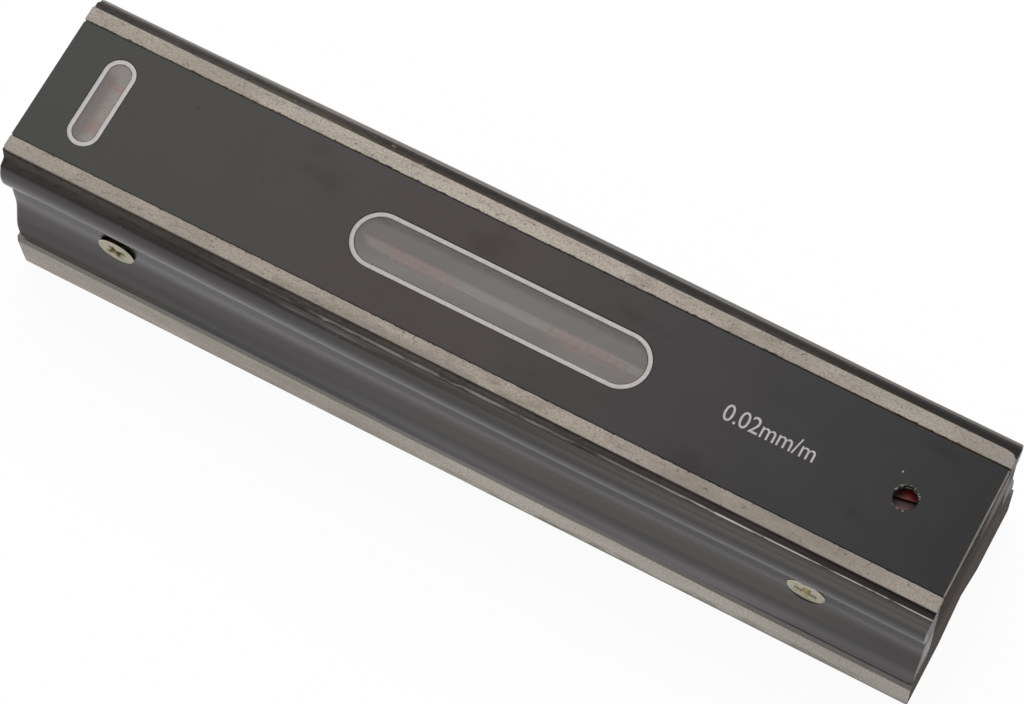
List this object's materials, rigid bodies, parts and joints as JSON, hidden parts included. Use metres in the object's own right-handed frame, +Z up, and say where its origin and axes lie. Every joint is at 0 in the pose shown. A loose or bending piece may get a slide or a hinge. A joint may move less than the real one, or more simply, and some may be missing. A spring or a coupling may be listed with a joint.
{
  "type": "machinist level",
  "caption": "Bar level with a ground iron body, V-groove sole and black side grips; a main vial on an adjustable tray and a cross vial show through windows in the cover.",
  "frame": {"origin": "centre of the sole, on the plane that the level stands on", "axes": "+X along the bar towards the adjuster, +Y across it, +Z up through the cover"},
  "size_m": [0.2, 0.045, 0.045],
  "materials": {
    "iron": "ground, with fine pits",
    "grip_black": "glossy moulded",
    "zinc_yellow": "yellow zinc plate",
    "cover_black": "satin black",
    "seal_black": "matt",
    "rim_grey": "satin",
    "window_clear": "clear, a little scuffed",
    "vial_glass": "clear",
    "vial_fluid": "clear, faint tint",
    "bubble_air": "clear",
    "brass": "as machined",
    "bedding": "matt plaster",
    "steel": "turned",
    "red_lacquer": "red sealing lacquer"
  },
  "bodies": {
    "level": {"body": "iron", "front_grip": "grip_black", "rear_grip": "grip_black", "grip_screws": "zinc_yellow", "cover_plate": "cover_black", "cover_seal": "seal_black", "main_bezel": "rim_grey", "cross_bezel": "rim_grey", "main_window": "window_clear", "cross_window": "window_clear", "pivot_block": "steel", "pivot_pin": "steel", "pivot_screws": "steel", "adjuster_bush": "brass", "adjuster_spring": "steel", "cross_vial": "vial_glass", "cross_fluid": "vial_fluid", "cross_vial_ends": "vial_glass", "cross_holder": "steel", "cross_holder_screws": "steel"},
    "carrier": {"vial_carrier": "brass", "main_vial": "vial_glass", "main_fluid": "vial_fluid", "main_vial_ends": "vial_glass", "vial_seats": "bedding"},
    "adjuster": {"adjuster_screw": "red_lacquer"},
    "main_bubble": {"main_bubble": "bubble_air"},
    "cross_bubble": {"cross_bubble": "bubble_air"}
  },
  "joints": [
    {"name": "carrier_tilt", "type": "hinge", "parent": "level", "child": "carrier", "pos_m": [-0.056, 0, 0.03], "axis": [0, -1, 0], "range_deg": [-0.152, 0.152], "deforming": ["adjuster_spring"]},
    {"name": "adjuster_turn", "type": "hinge", "parent": "carrier", "child": "adjuster", "pos_m": [0.0853, 0, 0.0419], "axis": [0, 0, 1], "range_deg": [-270, 270]},
    {"name": "main_bubble_slide", "type": "slide", "parent": "carrier", "child": "main_bubble", "axis": [1, 0, 0], "range_m": [-0.02, 0.02], "stiffness_N_per_m": 0.5},
    {"name": "cross_bubble_slide", "type": "slide", "parent": "level", "child": "cross_bubble", "axis": [0, 1, 0], "range_m": [-0.004, 0.004], "stiffness_N_per_m": 0.5}
  ],
  "couplings": [
    {"joint": "adjuster_turn", "follows": "carrier_tilt", "ratio": 1775.6}
  ]
}
